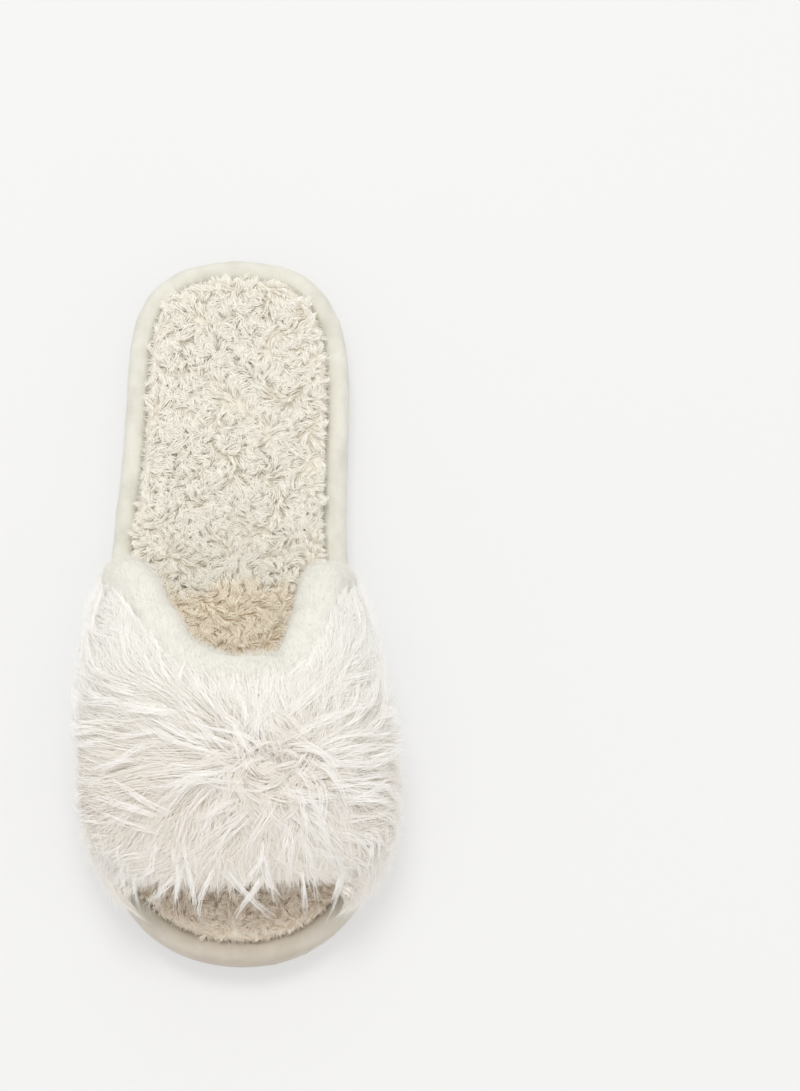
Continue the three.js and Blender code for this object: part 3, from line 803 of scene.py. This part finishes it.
def fur_roots(rng, count, stretch, near_whorl, sides_only):
    """Places of up to this many locks, evenly over a stretch of the strap from its front, 0, to its rear, 1,
    with a share of them close round the whorl."""
    low, high = stretch
    t = rng.uniform(-0.97, 0.97, count * 2)
    if sides_only:
        t = np.sign(t) * (0.52 + 0.47 * np.abs(t))
    v = rng.uniform(low, high, count * 2)
    front, rear = front_y(t), throat_y(t) - collar_radius(t) * 0.55
    kept = rng.random(count * 2) < (rear - front) / 100
    t, y = t[kept][:count], (front + (rear - front) * v)[kept][:count]
    close = rng.random(len(t)) < near_whorl
    turn = rng.uniform(0, 2 * math.pi, len(t))
    reach = 13 * np.sqrt(rng.random(len(t)))
    t = np.where(close, WHORL[0] / MM_PER_T + reach * np.cos(turn) / MM_PER_T, t)
    y = np.where(close, WHORL[1] + reach * np.sin(turn), y)
    return t, y


def fur_locks(name, seed, material, *, locks, per_lock, long, spread, gather, height, radius, points,
              stretch, near_whorl=0.0, overhang=(2, 8), rear_room=(0.1, 0.8), curl=0.5, stray=0.14,
              sides_only=False, least_room=0, toeward=0.0, sag=1.0):
    """Locks of long fur that lie outwards from the whorl and draw to a point.

    long, spread, radius and overhang are in mm, gather is how far a lock draws together, height is a share of
    the fur's crown, rear_room is a share of the collar's radius, stray and toeward turn a lock's way, and sag
    is how far it drops beyond the strap's front edge.
    """
    rng = np.random.default_rng(seed)
    t, y = fur_roots(rng, locks, stretch, near_whorl, sides_only)
    locks = len(t)
    here = arch(t, y, 0.0)
    from_whorl = np.linalg.norm(here - WHORL, axis=1)
    loose_centre = np.exp(-from_whorl / 7)
    twist = 0.45 * noise_field(seed + 1, 26)(here) + rng.normal(0, stray, locks)
    twist += rng.normal(0, 1.3, locks) * loose_centre - toeward * np.sign(t)

    # Each lock's line over the strap ends at the hem, beyond the front edge or at the collar.
    steps, stride = 44, 1.3
    ts, ys = fur_tracks(t, y, twist, steps, stride)
    track = arch(ts, ys, LOCK_OFFSET, True)
    over_front = front_y(ts) - rng.uniform(*overhang, locks)[:, None]
    over_rear = throat_y(ts) - collar_radius(ts) * rng.uniform(*rear_room, locks)[:, None]
    over_rear += 5 * smooth_step(np.abs(ts), 0.55, 0.8)
    hem = rng.uniform(9.5, 17, locks)[:, None]
    stop = (track[..., 2] < hem) | (ys < over_front) | (ys > over_rear)
    room = np.where(stop.any(1), stop.argmax(1), steps) * stride
    lengths = np.minimum(rng.uniform(*long, locks), np.maximum(room, 5)) * (1 - 0.35 * loose_centre)

    # Its strands follow that line, spread about it at their roots, and wave.
    owner = np.repeat(np.flatnonzero(room >= least_room), per_lock)
    count = len(owner)
    own_length = lengths[owner] * rng.uniform(0.66, 1.05, count)
    s = np.linspace(0, 1, points)
    place = np.minimum(own_length[:, None] * s[None] / stride, steps - 1e-6)
    k = place.astype(int)
    rest = place - k
    rows = owner[:, None]
    lock_t = ts[rows, k] * (1 - rest) + ts[rows, k + 1] * rest
    lock_y = ys[rows, k] * (1 - rest) + ys[rows, k + 1] * rest
    ratio = np.clip(lengths / 36, 0.3, 1.0)[owner]
    angle = rng.uniform(0, 2 * math.pi, count)
    reach = spread * ratio * np.sqrt(rng.random(count))
    loose = np.clip(1 - gather * s**0.8, 0, 1)[None]
    wave_size = curl * rng.uniform(0.2, 1.1, (count, 1)) * ratio[:, None]
    wave = wave_size * np.sin(s[None] * rng.uniform(3, 9, (count, 1)) + rng.uniform(0, 6.3, (count, 1)))
    centred = (0.35 + 0.65 * np.exp(-from_whorl / 22))[owner][:, None]
    lock_curl = curl * 2.2 * rng.normal(0, 1, (locks, 1))[owner] * ratio[:, None] * centred
    wave = wave * s[None] + lock_curl * np.sin(2.6 * s[None] ** 1.3) * s[None]
    way_t, way_y = fur_flow(lock_t, lock_y, np.zeros(lock_t.shape))
    off_x = reach[:, None] * np.cos(angle)[:, None] * loose - wave * way_y
    off_y = reach[:, None] * np.sin(angle)[:, None] * loose + wave * way_t * MM_PER_T
    strand_t = np.clip(lock_t + off_x / MM_PER_T, -1.22, 1.22)
    strand_y = lock_y + off_y

    # They stand off the cloth by their height, flare at the strap's sides and lie over the collar's roll.
    level = (rng.uniform(*height, locks)[owner] + rng.normal(0, 0.08, count))[:, None]
    lift = smooth_step(s, -0.05, 0.42)[None] * (1 - 0.22 * s[None] ** 2)
    offset = FUR_IN + 0.4 + np.maximum(level, 0.06) * crown(strand_t, strand_y) * lift
    flare = (rng.random(locks)[owner] ** 1.3 * rng.uniform(2, 9, count))[:, None]
    offset += flare * s[None] ** 1.6 * smooth_step(np.abs(strand_t), 0.62, 1.0)
    beside = (throat_y(strand_t) - strand_y) / slant(throat_y, np.clip(strand_t, -0.97, 0.97))
    over_roll = ROLL_OFFSET + np.sqrt(np.maximum((collar_width(strand_t) + 0.4) ** 2 - beside**2, 0))
    offset = np.maximum(offset, over_roll + 0.5 * np.abs(level))

    # Beyond the front edge they drop, and at the strap's feet their roots follow the cloth as it turns in.
    past_front = np.maximum(front_y(strand_t) - strand_y, 0)
    paths = arch(strand_t, strand_y, offset, True)
    facing = unit(arch(strand_t, strand_y, offset + 1, True) - paths + [0, -0.001, 0])
    paths[..., 2] -= sag * (0.35 * past_front + 0.04 * past_front**2)
    root_in = (1 - smooth_step(s, 0, 0.3))[None] * smooth_step(np.abs(strand_t), 0.78, 1.0)
    true_root = arch(strand_t, strand_y, offset)
    paths += (true_root - paths) * root_in[..., None]
    slope = np.stack([0 * past_front, -0.08 * np.minimum(past_front, 8), 0 * past_front], -1)
    facing = unit(facing + slope)
    taper = np.interp(s, [0, 0.25, 0.6, 0.85, 1], [0.8, 1.0, 0.85, 0.5, 0.1])
    radii = radius * rng.uniform(0.75, 1.25, (count, 1)) * taper[None]
    shade = (rng.random(locks)[owner] * 0.6 + rng.random(count) * 0.4) * 0.999
    strand_pieces(name, paths, radii, shade, facing, material, "fur", "strap_fur")


# ---- Rolled edges


def roll_frames(path):
    """Unit vectors square to a path of the strap: across it in the strap's surface, and out of the strap."""
    t, points = path
    tangent = unit(np.gradient(points, axis=0))
    out = np.column_stack([np.sign(t) * t * t, np.zeros(len(t)), 1 - t * t])
    side = unit(np.cross(unit(out), tangent))
    return side, np.cross(tangent, side)


def roll_surface(path, radius, around):
    """Points and normals of a tube along a path, as rows along it."""
    side, up = roll_frames(path)
    angle = np.linspace(0, 2 * math.pi, around, endpoint=False)
    normal = side[:, None] * np.cos(angle)[None, :, None] + up[:, None] * np.sin(angle)[None, :, None]
    return path[1][:, None] + normal * radius[..., None], normal


def closed_tube(name, rows, material):
    """A tube from rows of points, with its ends closed."""
    count, around, _ = rows.shape
    points = np.concatenate([rows.reshape(-1, 3), rows[0].mean(0)[None], rows[-1].mean(0)[None]])
    first, last = count * around, count * around + 1
    k = np.arange(around)
    start = np.stack([np.full(around, first), (k + 1) % around, k], -1)
    end_row = (count - 1) * around
    end = np.stack([np.full(around, last), end_row + k, end_row + (k + 1) % around], -1)
    return mesh_object(name, points, (grid_faces(count, around, wrap_columns=True), start, end), material)


def collar_path(count):
    t = np.linspace(-1.0, 1.0, count)
    return t, arch(t, throat_y(t), ROLL_OFFSET)


def collar(material, fuzz_material, core_material):
    """The fleece roll with its nap, and the foam that fills it."""
    t, points = path = collar_path(240)
    around = 40
    base = collar_width(t)[:, None] * np.ones(around)
    rows, normals = roll_surface(path, base, around)
    swell = 0.45 * noise_field(51, 19)(rows) + 0.16 * noise_field(52, 7)(rows)
    rows = rows + normals * swell[..., None]
    rows[..., 2] = np.maximum(rows[..., 2], GROOVE_FLOOR + 1.2)
    piece_of(closed_tube("collar_roll", rows, material), "fleece", "collar_cover", fill=0.7)
    core, core_ways = roll_surface(path, base - 1.6, around)
    core += core_ways * (0.1 * noise_field(55, 8)(core))[..., None]
    core[..., 2] = np.maximum(core[..., 2], GROOVE_FLOOR + 2.4)
    piece_of(closed_tube("collar_foam", core[4:-4], core_material), "foam", "collar_core", fill=0.7)
    rng = np.random.default_rng(53)
    count = 22000
    row = rng.integers(1, len(t) - 1, count)
    column = rng.integers(0, around, count)
    jitter_row = rng.random((count, 1))
    here = rows[row, column] * (1 - jitter_row) + rows[row - 1, column] * jitter_row
    turned = (column + 1) % around
    beside = rows[row, turned] * (1 - jitter_row) + rows[row - 1, turned] * jitter_row
    mix = rng.random((count, 1))
    roots = here * (1 - mix) + beside * mix
    lean = 0.8 * unit(np.column_stack([0.2 * rng.normal(size=count), np.ones(count), np.zeros(count)]))
    short_pile("collar_nap", roots - 0.2 * normals[row, column], normals[row, column], lean, 2.0, 0.065, 54,
               fuzz_material, "fleece", "collar_cover")


def binding(material):
    t = np.linspace(-1.0, 1.0, 150)
    path = t, arch(t, front_y(t), ROLL_OFFSET)
    around = 24
    rows, normals = roll_surface(path, np.full((len(t), around), BINDING_RADIUS * 0.98), around)
    rows = rows + normals * (0.16 * noise_field(56, 6)(rows))[..., None]
    rows[..., 2] = np.maximum(rows[..., 2], GROOVE_FLOOR + 1.2)
    piece_of(closed_tube("toe_edge_roll", rows, material), "fleece", "toe_edge_binding")


def stitches(name, edge_y, radius, direction, material, node):
    """Separate stitches on the lining beside a rolled edge."""
    offset = LINING_OFFSETS[1] - THREAD_CLEARANCE - THREAD_RADIUS
    t = np.linspace(-0.84, 0.84, 900)
    line = arch(t, beside_edge(edge_y, t, direction * (radius(t) + THREAD_FROM_ROLL)), offset)
    run = np.concatenate([[0], np.cumsum(np.linalg.norm(np.diff(line, axis=0), axis=1))])
    pitch, length = 4.0, 3.1
    tubes, faces = [], []
    around, points = 6, 7
    for k in range(int(run[-1] / pitch)):
        along = k * pitch + np.linspace(0, length, points)
        path = np.column_stack([np.interp(along, run, line[:, axis]) for axis in range(3)])
        s = np.linspace(-1, 1, points)
        thick = THREAD_RADIUS * np.sqrt(np.maximum(1 - s**6, 0.04))
        places = np.interp(along, run, t)
        rows, _ = roll_surface((places, path), thick[:, None] * np.ones(around), around)
        base = len(tubes) * points * around
        tubes.append(rows.reshape(-1, 3))
        faces.append(base + grid_faces(points, around, wrap_columns=True))
    ends = []
    for k in range(len(tubes)):
        base = k * points * around
        ends.append([base + i for i in range(around)][::-1])
        ends.append([base + (points - 1) * around + i for i in range(around)])
    obj = mesh_object(name, np.concatenate(tubes), (np.concatenate(faces), np.array(ends)), material)
    piece_of(obj, "thread", node)


# ---- Putting it together

add_camera()
add_stage()

IVORY_LIGHT = (0.775, 0.77, 0.70)
IVORY_DARK = (0.66, 0.65, 0.58)

# The velour turns darker and pinker towards the toe tip: painted shade, not the cloth's colour.
velour = cloth_material("velour", IVORY_LIGHT, IVORY_DARK, 2600, 0.9, 0.15, 0.5, 0.0003,
                        painted_toe_shade=(0.79, 0.71, 0.67))
piece_of(rim_cover(velour), "velour", "midsole_cover")

pad_cloth = cloth_material("plush_ground", (0.88, 0.84, 0.76), (0.80, 0.76, 0.68), 1500, 0.95, 0.1)
piece_of(footbed_pad(pad_cloth), "plush", "footbed_plush", fill=0.6)
# The plush darkens a little towards the toe: painted shade.
plush_pile = pile_material("plush_pile", (0.905, 0.878, 0.81), (0.975, 0.96, 0.905), 0.06,
                           tan_root=(0.94, 0.865, 0.735), tan_tip=(0.99, 0.95, 0.85),
                           painted_toe_shade=(0.93, 0.90, 0.895))
footbed_plush(plush_pile)
footbed_edge(plush_pile)

fur_skin = cloth_material("fur_skin", (0.92, 0.88, 0.82), (0.84, 0.79, 0.72), 900, 0.95, 0.2, 0.6, 0.001)
piece_of(arch_layer("fur_skin", FUR_IN + 2.2, FUR_IN, fur_skin, 0.5, 41), "fur", "strap_fur")
PALE = (0.965, 0.96, 0.94)
under_pile = pile_material("under_fur", (0.93, 0.895, 0.845), (0.975, 0.953, 0.92), 0.02, pale=PALE)
long_pile = pile_material("long_fur", (0.945, 0.913, 0.868), (0.98, 0.963, 0.935), 0.02, pale=PALE)
wisp_pile = pile_material("wisp_fur", (0.97, 0.96, 0.94), (0.995, 0.99, 0.98), 0.01)
fur_locks("under_fur", 61, under_pile, locks=3700, stretch=(0.0, 0.99), near_whorl=0.06, per_lock=12,
          long=(18, 34), spread=5.2, gather=0.25, height=(0.25, 0.75), radius=0.115, points=5)
fur_locks("front_fur", 64, long_pile, locks=560, stretch=(-0.03, 0.15), per_lock=14, long=(9, 22), spread=3.2,
          gather=0.45, height=(0.35, 1.0), radius=0.095, points=6, overhang=(3, 12), curl=0.9, stray=0.35)
fur_locks("side_fur", 65, long_pile, locks=760, stretch=(-0.10, 0.20), per_lock=14, long=(14, 26), spread=3.8,
          gather=0.4, height=(0.3, 0.9), radius=0.1, points=6, overhang=(12, 24), sides_only=True,
          toeward=0.95, sag=0.22)
fur_locks("rear_fur", 66, long_pile, locks=900, stretch=(0.66, 0.93), per_lock=14, long=(16, 30), spread=4.6,
          gather=0.2, height=(0.6, 1.0), radius=0.085, points=6, rear_room=(-0.6, 0.35), curl=0.3,
          least_room=9)
fur_locks("long_fur", 71, long_pile, locks=860, stretch=(0.0, 0.95), near_whorl=0.08, per_lock=32,
          long=(28, 52), spread=6.4, gather=0.42, height=(0.5, 0.95), radius=0.08, points=8, overhang=(3, 9),
          curl=0.9)
fur_locks("crest_fur", 77, long_pile, locks=130, stretch=(0.0, 0.9), near_whorl=1.0, per_lock=22,
          long=(15, 28), spread=3.6, gather=0.5, height=(0.7, 1.1), radius=0.085, points=8, curl=1.4,
          stray=1.1)
fur_locks("wisps", 81, wisp_pile, locks=230, stretch=(0.0, 0.9), near_whorl=0.3, per_lock=15, long=(22, 44),
          spread=2.6, gather=0.88, height=(0.95, 1.25), radius=0.09, points=11, overhang=(6, 17), curl=2.2,
          stray=0.24)
fur_locks("toe_wisps", 91, wisp_pile, locks=60, stretch=(-0.02, 0.16), per_lock=16, long=(22, 38), spread=2.2,
          gather=0.9, height=(0.75, 1.1), radius=0.1, points=9, overhang=(10, 20), curl=1.8, stray=0.5,
          sag=0.7)

lining = cloth_material("lining_fleece", (0.82, 0.78, 0.70), (0.70, 0.66, 0.58), 1300, 0.95, 0.25, 0.7,
                        0.0006)
piece_of(arch_layer("strap_lining", *LINING_OFFSETS, lining, 0.12, 42), "fleece", "strap_lining")
wadding = cloth_material("wadding", (0.84, 0.83, 0.80), (0.72, 0.71, 0.68), 500, 0.95, 0.1, 0.8, 0.001)
piece_of(arch_layer("strap_padding", *PADDING_OFFSETS, wadding, 0.1, 43), "foam", "strap_padding", fill=0.6)
weave = cloth_material("backing_weave", (0.78, 0.76, 0.70), (0.62, 0.60, 0.55), 1800, 0.9, 0.05)
piece_of(arch_layer("strap_backing", 0.6, -0.6, weave, 0.0, 44), "cloth", "strap_backing")

fleece = cloth_material("collar_fleece", (0.81, 0.80, 0.75), (0.74, 0.73, 0.68), 1500, 0.9, 0.1, 0.4, 0.0004)
nap = pile_material("collar_nap", (0.79, 0.78, 0.735), (0.85, 0.845, 0.80), 0.04)
foam = cloth_material("sole_foam", (0.80, 0.79, 0.75), (0.68, 0.67, 0.63), 1200, 0.95, 0.0, 0.6, 0.0005)
collar(fleece, nap, foam)
binding(fleece)

thread = cloth_material("thread", (0.86, 0.84, 0.76), (0.68, 0.66, 0.58), 3000, 0.6, 0.1)
stitches("collar_stitches", throat_y, collar_radius, -1, thread, "collar_stitching")
stitches("toe_edge_stitches", front_y, binding_radius, 1, thread, "toe_edge_stitching")

rubber = cloth_material("outsole_rubber", (0.60, 0.57, 0.50), (0.50, 0.47, 0.41), 900, 0.7, 0.0, 0.3, 0.0003)
board = cloth_material("insole_board", (0.50, 0.42, 0.31), (0.38, 0.31, 0.22), 700, 0.9, 0.0, 0.3, 0.0002)
cad_materials = {"outsole": rubber, "midsole": foam, "footbed_foam": foam, "insole_board": board}
for node, material in cad_materials.items():
    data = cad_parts[node].data
    data.materials.clear()
    data.materials.append(material)
